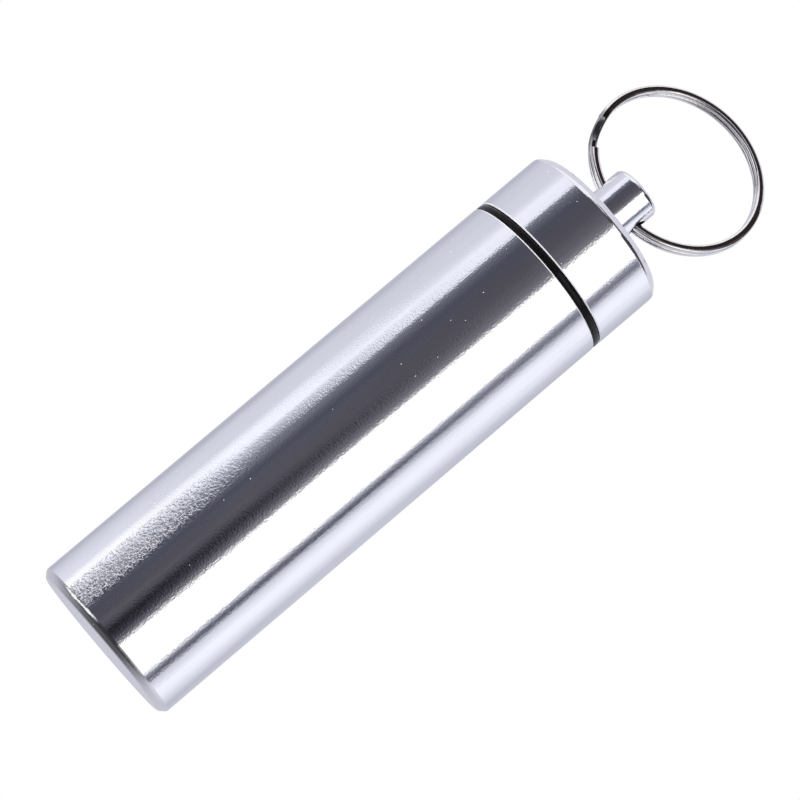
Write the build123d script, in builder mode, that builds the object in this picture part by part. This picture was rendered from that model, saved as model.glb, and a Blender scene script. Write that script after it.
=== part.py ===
from build123d import *

import os
from math import cos, pi, radians, sin, sqrt

# Screw-cap pill capsule on a split key ring, in millimetres.
# The capsule stands upright on +Z, with the origin at the centre of its flat base.
# The cross hole through the hanger stud runs along X, and the key ring leans back towards +Y.

# capsule
capsule_diameter = 24.0
base_chamfer = 0.85
base_round = 0.7
edge_break = 0.12
floor_thickness = 2.5
bore_diameter = 19.0
bore_corner_radius = 1.2
shoulder_height = 74.35
seal_gap = 1.15

# threaded neck and cap
neck_diameter = 20.8
neck_length = 8.75
neck_lead = 0.3
cap_height = 10.3
cap_chamfer = 1.0
cap_round = 0.8
cap_roof = 1.6
cap_bore_diameter = 22.0
cap_lead = 0.25
thread_pitch = 1.5
thread_depth = 0.5
thread_sink = 0.15
thread_base = 0.8
thread_crest = 0.3
neck_thread_start = 77.2
neck_thread_turns = 3
cap_thread_turns = 4

# seal
seal_clearance = 0.03
seal_corner_radius = 0.4

# hanger stud
stud_diameter = 7.5
stud_height = 7.2
stud_top_radius = 0.7
stud_root_radius = 0.25
stud_line_rise = 1.15
stud_line_depth = 0.06
cross_hole_diameter = 3.1
cross_hole_rise = 3.5

# key ring: a two-turn coil of flattened wire
ring_diameter = 25.6
wire_width = 1.15
wire_thickness = 0.80
wire_corner_radius = 0.34
coil_gap = 0.05
ring_lean = 24.5
ring_side_shift = 0.72
wire_seat_shift = 0.365
first_end_angle = 223.0
first_turn_arc = 334.0
jog_arc = 20.0
second_turn_arc = 338.0
jog_steps = 4

# derived sizes
capsule_radius = capsule_diameter / 2
neck_radius = neck_diameter / 2
neck_top = shoulder_height + neck_length
cap_rim = shoulder_height + seal_gap
cap_top = cap_rim + cap_height
cap_ceiling = cap_top - cap_roof
cap_bore_radius = cap_bore_diameter / 2
cross_hole_height = cap_top + cross_hole_rise
wire_mid_radius = (ring_diameter - wire_width) / 2
layer_offset = (wire_thickness + coil_gap) / 2

os.makedirs("parts", exist_ok=True)


def rings_at(builder, height):
    """The round edges of a part at one height."""
    rings = builder.edges().filter_by(GeomType.CIRCLE)
    return rings.filter_by(lambda edge: abs(edge.arc_center.Z - height) < 0.01)


def thread_ridge(root_radius, crest_radius, start_height, turns):
    """Add a helical ridge that stands on a round wall, in the part being built."""
    root = root_radius + thread_sink * (1 if root_radius > crest_radius else -1)
    with BuildLine():
        coil = Helix(thread_pitch, turns * thread_pitch, root, center=(0, 0, start_height))
    with BuildSketch(Plane.XZ) as profile:
        with BuildLine():
            Polyline(
                (root, start_height - thread_base / 2),
                (crest_radius, start_height - thread_crest / 2),
                (crest_radius, start_height + thread_crest / 2),
                (root, start_height + thread_base / 2),
                close=True,
            )
        make_face()
    sweep(profile.sketch, path=coil, is_frenet=True)


# Body: a polished cup with a shoulder for the seal and a threaded neck above it.
with BuildPart() as body:
    with BuildSketch():
        Circle(capsule_radius)
    extrude(amount=shoulder_height)
    chamfer(rings_at(body, 0), base_chamfer)
    fillet(rings_at(body, base_chamfer) + rings_at(body, 0), base_round)
    chamfer(rings_at(body, shoulder_height), edge_break)
    with BuildSketch(Plane.XY.offset(shoulder_height)):
        Circle(neck_radius)
    extrude(amount=neck_length)
    with BuildSketch(Plane.XY.offset(floor_thickness)):
        Circle(bore_diameter / 2)
    extrude(amount=neck_top - floor_thickness, mode=Mode.SUBTRACT)
    chamfer(rings_at(body, neck_top), neck_lead)
    fillet(rings_at(body, floor_thickness), bore_corner_radius)
    thread_ridge(neck_radius, neck_radius + thread_depth, neck_thread_start, neck_thread_turns)
body.part.label = "body"
export_step(body.part, "parts/body.step")

# Seal: a rubber ring round the root of the neck, flush with the capsule's side.
with BuildPart() as seal_ring:
    seal_inner = neck_radius + seal_clearance
    seal_outer = capsule_radius - seal_clearance
    with BuildSketch(Plane.XZ):
        with Locations(((seal_inner + seal_outer) / 2, shoulder_height + seal_gap / 2)):
            RectangleRounded(
                seal_outer - seal_inner,
                seal_gap - 2 * seal_clearance,
                seal_corner_radius,
            )
    revolve(axis=Axis.Z)
seal_ring.part.label = "seal_ring"
export_step(seal_ring.part, "parts/seal_ring.step")

# Cap: a turned cap with a solid hanger stud, drilled across for the key ring.
with BuildPart() as cap:
    with BuildSketch(Plane.XY.offset(cap_rim)):
        Circle(capsule_radius)
    extrude(amount=cap_height)
    chamfer(rings_at(cap, cap_top), cap_chamfer)
    fillet(rings_at(cap, cap_top - cap_chamfer) + rings_at(cap, cap_top), cap_round)
    chamfer(rings_at(cap, cap_rim), edge_break)
    with BuildSketch(Plane.XY.offset(cap_top)):
        Circle(stud_diameter / 2)
    extrude(amount=stud_height)
    fillet(rings_at(cap, cap_top + stud_height), stud_top_radius)
    fillet(rings_at(cap, cap_top).sort_by(SortBy.RADIUS)[0], stud_root_radius)
    with BuildSketch(Plane.XZ):
        with Locations((stud_diameter / 2, cap_top + stud_line_rise)):
            RegularPolygon(stud_line_depth, 4)
    revolve(axis=Axis.Z, mode=Mode.SUBTRACT)
    with BuildSketch(Plane.XY.offset(cap_rim)):
        Circle(cap_bore_radius)
    extrude(amount=cap_ceiling - cap_rim, mode=Mode.SUBTRACT)
    chamfer(rings_at(cap, cap_rim).sort_by(SortBy.RADIUS)[0], cap_lead)
    with BuildSketch(Plane.YZ):
        with Locations((0, cross_hole_height)):
            Circle(cross_hole_diameter / 2)
    extrude(amount=stud_diameter, both=True, mode=Mode.SUBTRACT)
    thread_ridge(
        cap_bore_radius,
        cap_bore_radius - thread_depth,
        neck_thread_start - thread_pitch / 2,
        cap_thread_turns,
    )
cap.part.label = "cap"
export_step(cap.part, "parts/cap.step")

# Key ring: its own plane holds the coil, with local x along X, local y up the lean
# and local z out of the front turn. The coil is pinned at the cross hole.
lean_up = Vector(0, sin(radians(ring_lean)), cos(radians(ring_lean)))
coil_front = Vector(0, -cos(radians(ring_lean)), sin(radians(ring_lean)))
pivot_reach = wire_mid_radius - wire_seat_shift
pivot = Vector(0, 0, cross_hole_height)
ring_centre = pivot + Vector(ring_side_shift, 0, 0) + lean_up * sqrt(pivot_reach**2 - ring_side_shift**2)
coil_axis = Axis(ring_centre, coil_front)


def wire_section(angle, height):
    """The wire's cross-section at an angle round the coil and a height over its middle plane."""
    radial = Vector(1, 0, 0) * cos(radians(angle)) + lean_up * sin(radians(angle))
    with BuildSketch(Plane(ring_centre, x_dir=radial, z_dir=radial.cross(coil_front))) as section:
        with Locations((wire_mid_radius, height)):
            RectangleRounded(wire_width, wire_thickness, wire_corner_radius)
    return section.sketch


with BuildPart() as split_ring:
    jog_start = first_end_angle + first_turn_arc
    revolve(wire_section(first_end_angle, layer_offset), axis=coil_axis, revolution_arc=first_turn_arc)
    jog = []
    for step in range(jog_steps + 1):
        share = step / jog_steps
        jog.append(wire_section(jog_start + share * jog_arc, layer_offset * cos(share * pi)))
    loft(jog)
    second_turn = wire_section(jog_start + jog_arc, -layer_offset)
    revolve(second_turn, axis=coil_axis, revolution_arc=second_turn_arc)
split_ring.part.label = "split_ring"
export_step(split_ring.part, "parts/split_ring.step")
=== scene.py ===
import math

import bpy
from mathutils import Matrix, Vector

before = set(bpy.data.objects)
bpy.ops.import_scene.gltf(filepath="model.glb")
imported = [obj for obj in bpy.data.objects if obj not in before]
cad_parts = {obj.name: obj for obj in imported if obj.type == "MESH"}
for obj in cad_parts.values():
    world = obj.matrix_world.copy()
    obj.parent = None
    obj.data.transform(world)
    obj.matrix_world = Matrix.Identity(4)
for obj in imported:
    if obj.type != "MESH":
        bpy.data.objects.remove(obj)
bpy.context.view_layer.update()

# ---------------------------------------------------------------- camera and stage, in metres and degrees
CAMERA_AZIMUTH = 6.0
CAMERA_ELEVATION = -8.726
CAMERA_ROLL = 49.752
CAMERA_DISTANCE = 0.45886
CAMERA_LENS = 157.5
CAMERA_SENSOR = 36.0
CAMERA_TARGET = Vector((0.00076, 0.00008, 0.05034))

KEY_PLACE = Vector((-0.28, -0.8, 0.3))
KEY_TARGET = Vector((0, 0, 0.05))
KEY_SIZE = 0.5
KEY_POWER = 6.0

FLOOR_RADIUS = 0.9
FLOOR_DROP = 0.0002
FLOOR_SIDES = 96

# ---------------------------------------------------------------- places on the object, in millimetres
CAPSULE_RADIUS = 12.0
SKIN_DEPTH = 0.7
SHOULDER_EDGE = 74.29
CAP_EDGE = 75.56
INSIDE_BOTTOM = 1.5
INSIDE_TOP = 84.3
STUD_ROOT = 86.0
CROSS_HOLE_HEIGHT = 89.3
CROSS_HOLE_RADIUS = 1.55
RING_STEP = (-10.15, 2.61, 95.03)

# ---------------------------------------------------------------- studio tones
# Grey levels on the 8-bit display scale. A level over 255 is a light brighter than white.
WHITE = 255
WALL_CAST = (-1, 1, 14)
CAMERA_SIDE_CAST = (1, -1, 7)
CAMERA_SIDE = (-30, 14)

# The studio's walls round the object, by the angle from the camera's side: seen level, a little higher
# and higher still. A dark camera side stands between a lit wall on the left and a window on the right.
WALLS_LOW = [
    (-180, 205), (-155, 180), (-130, 210), (-102, 230), (-95, 260), (-86, 260), (-81, 245), (-77, 205),
    (-71, 160), (-52, 140), (-47, 95), (-42, 75), (-25, 80), (-20, 90), (-15, 75), (-10, 50), (-5, 25),
    (4, 60), (8, 95), (12, 135), (16, 285), (63, 285), (66, 195), (70, 130), (75.5, 70), (80, 200),
    (88, 225), (97, 250), (108, 245), (140, 190), (180, 205),
]
WALLS_MIDDLE = [
    (-180, 200), (-150, 180), (-130, 210), (-100, 215), (-94, 240), (-88, 250), (-77, 250), (-73, 200),
    (-67, 170), (-58, 115), (-52, 105), (-47, 90), (-42, 75), (-36, 85), (-20, 85), (-12, 75), (-6, 60),
    (0, 75), (6, 105), (12, 145), (16, 285), (63, 285), (66.5, 190), (71, 120), (76, 70), (80, 180),
    (87, 225), (96, 245), (108, 245), (135, 200), (180, 200),
]
WALLS_HIGH = [
    (-180, 200), (-150, 185), (-130, 205), (-90, 215), (-83, 225), (-78, 245), (-70, 240), (-61, 240),
    (-58, 130), (-53, 100), (-47, 85), (-42, 75), (-15, 80), (0, 95), (8, 110), (12.5, 135), (17, 285),
    (63, 285), (66.5, 200), (70, 140), (77, 110), (81, 175), (88, 225), (96, 245), (108, 245),
    (122, 230), (136, 205), (155, 190),
]
# Panels in the upper room: their left, right, lowest and highest edges, in degrees.
LEFT_PANEL = (-118, -37, 21, 74)
WINDOW_PANEL = (10, 33, 10, 41)
DARK_FLAG = (30, 108, 22, 70)
# The table, from the camera's side at 0 to the far side at 1.
TABLE = [(0, 48), (0.25, 58), (0.45, 76), (0.55, 96), (0.62, 125), (0.75, 155), (0.88, 188), (1, 200)]
# The dark shape of the camera and its stand, from its middle at 0 outwards.
CAMERA_SHAPE = [(0, 36), (0.3, 50), (0.45, 71), (0.6, 104), (0.72, 170), (0.8, 214)]
TABLE_CAST = 0.06


# ---------------------------------------------------------------- helpers
def linear(r, g, b):
    """Scene-linear colour of an 8-bit display colour."""
    def one(value):
        c = value / 255
        return c / 12.92 if c <= 0.04045 else ((c + 0.055) / 1.055) ** 2.4
    return (one(r), one(g), one(b), 1.0)


def wall_tone(bearing, level):
    """Colour of a stretch of wall: cool, less so on the camera's side, and without a cast in a light."""
    if level > WHITE:
        return linear(level, level, level)
    cast = CAMERA_SIDE_CAST if CAMERA_SIDE[0] < bearing < CAMERA_SIDE[1] else WALL_CAST
    return linear(*(level + shift for shift in cast))


def table_tone(level):
    """Colour of the table or of the camera's dark shape, cooler as it gets lighter."""
    return linear(level, level, level * (1 + TABLE_CAST))


class Graph:
    """A small wrapper that adds nodes to a tree and links them by argument."""

    def __init__(self, tree):
        self.tree = tree
        tree.nodes.clear()

    def node(self, kind, inputs=None, **settings):
        made = self.tree.nodes.new(kind)
        for name, value in settings.items():
            setattr(made, name, value)
        for name, value in (inputs or {}).items():
            if isinstance(value, bpy.types.NodeSocket):
                self.tree.links.new(value, made.inputs[name])
            else:
                made.inputs[name].default_value = value
        return made

    def math(self, operation, a, b=0.0, clamp=False):
        made = self.node("ShaderNodeMath", {0: a, 1: b}, operation=operation, use_clamp=clamp)
        return made.outputs[0]

    def plus(self, a, b, clamp=False):
        return self.math("ADD", a, b, clamp)

    def minus(self, a, b):
        return self.math("SUBTRACT", a, b)

    def times(self, first, *others):
        for other in others:
            first = self.math("MULTIPLY", first, other)
        return first

    def ramp(self, factor, stops):
        """A colour that runs evenly from stop to stop, each a place from 0 to 1 and a colour."""
        made = self.node("ShaderNodeValToRGB", {"Fac": factor})
        ramp = made.color_ramp
        while len(ramp.elements) > 1:
            ramp.elements.remove(ramp.elements[-1])
        ramp.elements[0].position, ramp.elements[0].color = stops[0]
        for position, colour in stops[1:]:
            ramp.elements.new(position).color = colour
        return made.outputs["Color"]

    def mix(self, factor, a, b):
        made = self.node("ShaderNodeMix", data_type="RGBA", clamp_factor=True)
        for name, value in (("Factor", factor), ("A", a), ("B", b)):
            socket = [s for s in made.inputs if s.name == name and s.enabled][0]
            if isinstance(value, bpy.types.NodeSocket):
                self.tree.links.new(value, socket)
            else:
                socket.default_value = value
        return [s for s in made.outputs if s.enabled][0]

    def smooth(self, value, low, high, to_low, to_high):
        """Runs softly from to_low to to_high as the value goes from low to high, and stays there."""
        made = self.node(
            "ShaderNodeMapRange",
            {"Value": value, "From Min": low, "From Max": high, "To Min": to_low, "To Max": to_high},
            interpolation_type="SMOOTHSTEP",
        )
        return made.outputs["Result"]

    def rise(self, value, low, high):
        return self.smooth(value, low, high, 0.0, 1.0)

    def fall(self, value, low, high):
        return self.smooth(value, low, high, 1.0, 0.0)

    def between(self, value, start, full, fade, end):
        """1 from full to fade, falling softly to 0 at start and at end."""
        return self.times(self.rise(value, start, full), self.fall(value, fade, end))


# ---------------------------------------------------------------- camera
def add_camera():
    azimuth, elevation = math.radians(CAMERA_AZIMUTH), math.radians(CAMERA_ELEVATION)
    back = Vector((
        math.sin(azimuth) * math.cos(elevation),
        -math.cos(azimuth) * math.cos(elevation),
        math.sin(elevation),
    ))
    data = bpy.data.cameras.new("camera")
    data.lens, data.sensor_width = CAMERA_LENS, CAMERA_SENSOR
    data.clip_start, data.clip_end = 0.01, 10.0
    camera = bpy.data.objects.new("camera", data)
    camera.rotation_mode = "QUATERNION"
    level = (-back).to_track_quat("-Z", "Y")
    roll = Matrix.Rotation(math.radians(CAMERA_ROLL), 3, "Z").to_quaternion()
    camera.rotation_quaternion = level @ roll
    camera.location = CAMERA_TARGET + back * CAMERA_DISTANCE
    bpy.context.scene.collection.objects.link(camera)
    bpy.context.scene.camera = camera


# ---------------------------------------------------------------- studio
class Studio(Graph):
    """The world's node tree, with directions as bearing and elevation from the camera's side of the room."""

    def __init__(self):
        self.world = bpy.data.worlds.new("studio")
        self.world.use_nodes = True
        super().__init__(self.world.node_tree)
        direction = self.node("ShaderNodeTexCoord").outputs["Generated"]
        x, y, z = self.node("ShaderNodeSeparateXYZ", {0: direction}).outputs
        azimuth = math.radians(CAMERA_AZIMUTH)
        bearing = self.minus(self.math("ARCTAN2", x, self.times(y, -1.0)), azimuth)
        self.share = self.math("FRACT", self.plus(self.math("DIVIDE", bearing, 2 * math.pi), 0.5))
        self.bearing = self.times(self.minus(self.share, 0.5), 360.0)
        self.elevation = self.math("DEGREES", self.math("ARCSINE", z))
        self.forward = self.minus(self.times(y, math.cos(azimuth)), self.times(x, math.sin(azimuth)))
        self.right = self.plus(self.times(x, math.cos(azimuth)), self.times(y, math.sin(azimuth)))

    def wall(self, stops):
        colours = [((bearing + 180) / 360, wall_tone(bearing, level)) for bearing, level in stops]
        return self.ramp(self.share, colours)

    def mound(self, middle, half_width, height, squareness):
        """0 at the foot of a rounded shape on the horizon, 1 at its outline."""
        across = self.math("ABSOLUTE", self.math("DIVIDE", self.minus(self.bearing, middle), half_width))
        return self.plus(self.math("POWER", across, squareness), self.math("DIVIDE", self.elevation, height))

    def panel(self, left, right, low, high, edge=5.0):
        """1 inside a soft-edged rectangle of bearings and elevations."""
        across = self.between(self.bearing, left, left + edge, right - edge, right)
        return self.times(across, self.between(self.elevation, low, low + edge, high - edge, high))


def studio_walls(g):
    lower = g.mix(g.rise(g.elevation, 3.4, 6.2), g.wall(WALLS_LOW), g.wall(WALLS_MIDDLE))
    return g.mix(g.rise(g.elevation, 6.8, 10.2), lower, g.wall(WALLS_HIGH))


def studio_table(g, walls):
    """The table, lighter towards the far side and the right, with a white card on it at the left."""
    lit = g.times(g.math("POWER", g.math("MAXIMUM", g.right, 0.0), 2.0), 0.55)
    backness = g.plus(g.times(g.plus(g.forward, 1.0), 0.5), lit, clamp=True)
    table = g.ramp(backness, [(place, table_tone(level)) for place, level in TABLE])
    table = g.mix(g.smooth(g.elevation, -50, -8, 0.0, 0.3), table, walls)
    card = g.times(
        g.between(g.elevation, -50, -38, -22, -15),
        g.fall(g.right, -0.6, -0.35),
        g.fall(g.forward, 0.02, 0.14),
    )
    return g.mix(card, table, linear(250, 250, 254))


def studio_ceiling(g):
    """The room above the walls: the camera's dark shape, two white panels, a dark flag and a dark boom."""
    shape = g.math("MINIMUM", g.mound(14, 36, 62, 2.0), g.mound(4, 53, 38, 6.0))
    shape = g.math("MULTIPLY", shape, 0.67, clamp=True)
    ceiling = g.ramp(shape, [(place, table_tone(level)) for place, level in CAMERA_SHAPE])
    ceiling = g.mix(g.panel(*LEFT_PANEL), ceiling, linear(246, 246, 252))
    ceiling = g.mix(g.panel(*DARK_FLAG), ceiling, linear(74, 69, 71))
    ceiling = g.mix(g.panel(*WINDOW_PANEL), ceiling, linear(252, 252, 254))
    boom = g.times(g.between(g.elevation, 52, 56, 67, 72), g.between(g.bearing, -36, -28, 98, 116))
    return g.mix(boom, ceiling, linear(44, 36, 35))


def add_studio():
    """A soft room with a dark camera side: light comes from all round, and shows as long bands."""
    g = Studio()
    bpy.context.scene.world = g.world
    walls = studio_walls(g)
    seen = g.mix(g.rise(g.elevation, -2.5, 1.5), studio_table(g, walls), walls)
    seen = g.mix(g.rise(g.elevation, 15.8, 17.4), seen, studio_ceiling(g))
    to_camera = g.node("ShaderNodeLightPath").outputs["Is Camera Ray"]
    shown = g.mix(to_camera, seen, (1.0, 1.0, 1.0, 1.0))
    background = g.node("ShaderNodeBackground", {"Color": shown, "Strength": 1.0})
    g.node("ShaderNodeOutputWorld", {"Surface": background.outputs[0]})


def add_key_light():
    """A soft front light that fills dull surfaces; polished ones see only the studio."""
    data = bpy.data.lights.new("key", "AREA")
    data.shape, data.size, data.energy = "DISK", KEY_SIZE, KEY_POWER
    key = bpy.data.objects.new("key", data)
    key.location = KEY_PLACE
    key.rotation_euler = (KEY_TARGET - KEY_PLACE).to_track_quat("-Z", "Y").to_euler()
    key.visible_glossy = False
    key.visible_camera = False
    bpy.context.scene.collection.objects.link(key)


def add_floor():
    """A round pale floor, one-sided like a stage flat: from below it is clear."""
    mesh = bpy.data.meshes.new("floor")
    angles = [2 * math.pi * side / FLOOR_SIDES for side in range(FLOOR_SIDES)]
    ring = [(FLOOR_RADIUS * math.cos(angle), FLOOR_RADIUS * math.sin(angle), 0) for angle in angles]
    mesh.from_pydata(ring, [], [list(range(FLOOR_SIDES))])
    floor = bpy.data.objects.new("floor", mesh)
    floor.location.z = -FLOOR_DROP
    floor.visible_glossy = False
    floor.visible_shadow = False
    bpy.context.scene.collection.objects.link(floor)
    material = bpy.data.materials.new("floor")
    material.use_nodes = True
    g = Graph(material.node_tree)
    pale = g.node("ShaderNodeBsdfDiffuse", {"Color": (0.92, 0.92, 0.93, 1)})
    clear = g.node("ShaderNodeBsdfTransparent")
    underside = g.node("ShaderNodeNewGeometry").outputs["Backfacing"]
    both = g.node("ShaderNodeMixShader", {0: underside, 1: pale.outputs[0], 2: clear.outputs[0]})
    g.node("ShaderNodeOutputMaterial", {"Surface": both.outputs[0]})
    floor.data.materials.append(material)


# ---------------------------------------------------------------- materials
class Surface(Graph):
    """A material's node tree with the piece's own coordinates in millimetres."""

    def __init__(self, name):
        self.material = bpy.data.materials.new(name)
        self.material.use_nodes = True
        super().__init__(self.material.node_tree)
        place = self.node("ShaderNodeTexCoord").outputs["Object"]
        self.place = self.scaled(place, (1000, 1000, 1000))
        self.x, self.y, self.z = self.node("ShaderNodeSeparateXYZ", {0: self.place}).outputs
        self.radius = self.distance(self.x, self.y)
        self.turn = self.math("ARCTAN2", self.x, self.times(self.y, -1.0))

    def scaled(self, vector, scale):
        made = self.node("ShaderNodeVectorMath", {0: vector, 1: scale}, operation="MULTIPLY")
        return made.outputs["Vector"]

    def distance(self, a, b):
        return self.math("SQRT", self.plus(self.times(a, a), self.times(b, b)))

    def noise(self, scale, detail, roughness, distortion=0.0, stretch=(1.0, 1.0, 1.0)):
        """Cloudy noise with about scale patches in a millimetre, before the stretch."""
        made = self.node("ShaderNodeTexNoise", {
            "Vector": self.scaled(self.place, stretch), "Scale": scale, "Detail": detail,
            "Roughness": roughness, "Distortion": distortion,
        })
        return made.outputs["Fac"]

    def spots(self, scale, core, edge, share, stretch=(1.0, 1.0, 1.0)):
        """1 inside small spots strewn at random, 0 between them; the share is how many are left out."""
        cells = self.node("ShaderNodeTexVoronoi", {
            "Vector": self.scaled(self.place, stretch), "Scale": scale, "Randomness": 1.0,
        })
        tone = self.node("ShaderNodeSeparateColor", {0: cells.outputs["Color"]}).outputs[0]
        spot = self.fall(cells.outputs["Distance"], core, edge)
        return self.times(spot, self.rise(tone, share, share + 0.01))

    def bump(self, height, metres, below=None):
        """The normal of a relief that deep, laid over the one below it."""
        inputs = {"Height": height, "Distance": metres, "Strength": 1.0}
        if below is not None:
            inputs["Normal"] = below
        return self.node("ShaderNodeBump", inputs).outputs["Normal"]

    def finish(self, shader):
        self.node("ShaderNodeOutputMaterial", {"Surface": shader.outputs[0]})
        return self.material


def inside_faces(g):
    """1 on the bore, the neck and the thread, which the tool left satin; 0 on the polished outside."""
    within = g.fall(g.radius, CAPSULE_RADIUS - SKIN_DEPTH, CAPSULE_RADIUS - SKIN_DEPTH + 0.1)
    return g.times(
        within, g.fall(g.z, INSIDE_TOP, INSIDE_TOP + 0.1), g.rise(g.z, INSIDE_BOTTOM, INSIDE_BOTTOM + 0.1)
    )


def cross_hole_faces(g):
    """1 on the wall of the stud's cross hole."""
    from_axis = g.distance(g.y, g.minus(g.z, CROSS_HOLE_HEIGHT))
    hole = g.fall(from_axis, CROSS_HOLE_RADIUS + 0.01, CROSS_HOLE_RADIUS + 0.03)
    return g.times(hole, g.rise(g.z, STUD_ROOT, STUD_ROOT + 0.2))


def foot_patch(g):
    """1 on the coarse patch at the foot, on the left of the camera's side, fading out up the wall."""
    up = g.times(g.fall(g.z, 4.0, 34.0), g.rise(g.z, 1.1, 1.5))
    return g.times(up, g.between(g.turn, *(math.radians(angle) for angle in (-39, -33, -21, -15.5))))


def polished_aluminium(name, spangle, rim_height):
    """Turned and polished aluminium: mirror-like outside, satin where the tool left it inside."""
    g = Surface(name)
    inside = inside_faces(g)
    hole = cross_hole_faces(g)
    streak = g.noise(scale=1.6, detail=3.0, roughness=0.6, stretch=(1.0, 1.0, 0.02))
    haze = g.noise(scale=0.11, detail=3.0, roughness=0.6)

    # a fine peel all over, streaks along the axis, and a coarse spangle at the foot
    peel = g.bump(g.noise(scale=3.8, detail=1.0, roughness=0.5), 0.0000095)
    relief = g.bump(g.noise(scale=5.2, detail=1.0, roughness=0.5), 0.0000025, peel)
    relief = g.bump(streak, 0.000006, relief)
    coarse = g.rise(g.noise(scale=2.6, detail=1.0, roughness=0.5, distortion=0.3), 0.4, 0.6)
    relief = g.bump(g.times(coarse, foot_patch(g), spangle), 0.000055, relief)

    # turning marks where the piece is not polished
    mark_pitch = 0.22
    marks = g.math("SINE", g.times(g.z, 2 * math.pi / mark_pitch))
    relief = g.bump(g.times(marks, inside), 0.000006, relief)

    # handling marks: short scratches, specks of dust and small strokes
    scratch = g.noise(scale=7.0, detail=2.0, roughness=0.4, distortion=1.2, stretch=(1.0, 1.0, 0.12))
    scratch = g.rise(scratch, 0.73, 0.76)
    speck = g.spots(scale=0.8, core=0.04, edge=0.065, share=0.6)
    stroke = g.spots(scale=0.5, core=0.04, edge=0.055, share=0.6, stretch=(0.5, 0.5, 1.7))
    speck = g.math("MAXIMUM", speck, g.times(stroke, 0.6))

    gloss = g.plus(g.smooth(haze, 0.3, 0.75, 0.045, 0.085), g.times(scratch, 0.12))
    gloss = g.plus(gloss, g.times(inside, 0.2))
    gloss = g.plus(gloss, g.times(hole, 0.35))
    colour = g.mix(g.rise(haze, 0.35, 0.7), (0.965, 0.965, 0.972, 1), (0.945, 0.945, 0.955, 1))
    colour = g.mix(g.smooth(streak, 0.5, 0.8, 0.0, 0.4), colour, (0.84, 0.84, 0.86, 1))
    colour = g.mix(g.times(inside, 0.6), colour, (0.80, 0.80, 0.82, 1))
    # painted shade: the wall of the cross hole is coloured near black, as shade inside the hole
    colour = g.mix(hole, colour, (0.05, 0.045, 0.045, 1))
    metal = g.node("ShaderNodeBsdfPrincipled", {
        "Base Color": colour, "Metallic": 1.0, "Roughness": gloss, "Normal": relief,
    })

    # dust in the specks, and a painted highlight: a pale line painted along the broken edge against the seal
    # painted highlight: the mask of the pale line along the rim
    edge = g.smooth(g.math("ABSOLUTE", g.minus(g.z, rim_height)), 0.085, 0.1, 0.9, 0.0)
    edge = g.times(edge, g.rise(g.radius, CAPSULE_RADIUS - 0.2, CAPSULE_RADIUS - 0.15))
    dust_and_highlight = g.node("ShaderNodeBsdfDiffuse", {"Color": (0.93, 0.93, 0.94, 1)})
    pale = g.math("MAXIMUM", g.times(speck, 0.85), edge)
    return g.finish(g.node("ShaderNodeMixShader", {0: pale, 1: metal.outputs[0], 2: dust_and_highlight.outputs[0]}))


def black_rubber(name):
    """Moulded black nitrile with a satin skin."""
    g = Surface(name)
    grain = g.noise(scale=9.0, detail=3.0, roughness=0.6)
    wave = g.noise(scale=1.3, detail=2.0, roughness=0.5, stretch=(1.0, 1.0, 0.3))
    skin = g.bump(wave, 0.00004, g.bump(grain, 0.000008))
    colour = g.mix(g.rise(grain, 0.35, 0.7), (0.002, 0.002, 0.0022, 1), (0.007, 0.007, 0.0075, 1))
    return g.finish(g.node("ShaderNodeBsdfPrincipled", {
        "Base Color": colour, "Roughness": g.smooth(wave, 0.3, 0.7, 0.12, 0.26),
        "Specular IOR Level": 0.15, "Normal": skin,
    }))


def nickel_plate(name):
    """Bright nickel on drawn spring wire."""
    g = Surface(name)
    drawn = g.bump(g.noise(scale=3.5, detail=3.0, roughness=0.55), 0.0000012)
    surface = g.bump(g.noise(scale=0.55, detail=2.0, roughness=0.5), 0.00005, drawn)
    worn = g.rise(g.noise(scale=0.9, detail=4.0, roughness=0.65), 0.4, 0.72)
    colour = g.mix(worn, (1.0, 0.99, 0.975, 1), (0.88, 0.85, 0.83, 1))
    # the plating is coloured darker round the place where the wire steps over from one turn to the other
    step = g.node("ShaderNodeVectorMath", {0: g.place, 1: RING_STEP}, operation="DISTANCE")
    step_darkening = g.smooth(step.outputs["Value"], 2.6, 3.8, 0.75, 0.0)
    colour = g.mix(step_darkening, colour, (0.2, 0.19, 0.19, 1))
    return g.finish(g.node("ShaderNodeBsdfPrincipled", {
        "Base Color": colour, "Metallic": 1.0, "Roughness": g.smooth(worn, 0.0, 1.0, 0.03, 0.08),
        "Normal": surface,
    }))


def paint(node, material):
    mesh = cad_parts[node].data
    mesh.materials.clear()
    mesh.materials.append(material)


scene = bpy.context.scene
scene.view_settings.view_transform = "Standard"
add_camera()
add_studio()
add_key_light()
add_floor()
paint("body", polished_aluminium("body_metal", 1.0, SHOULDER_EDGE))
paint("cap", polished_aluminium("cap_metal", 0.0, CAP_EDGE))
paint("seal_ring", black_rubber("seal_rubber"))
paint("split_ring", nickel_plate("ring_steel"))
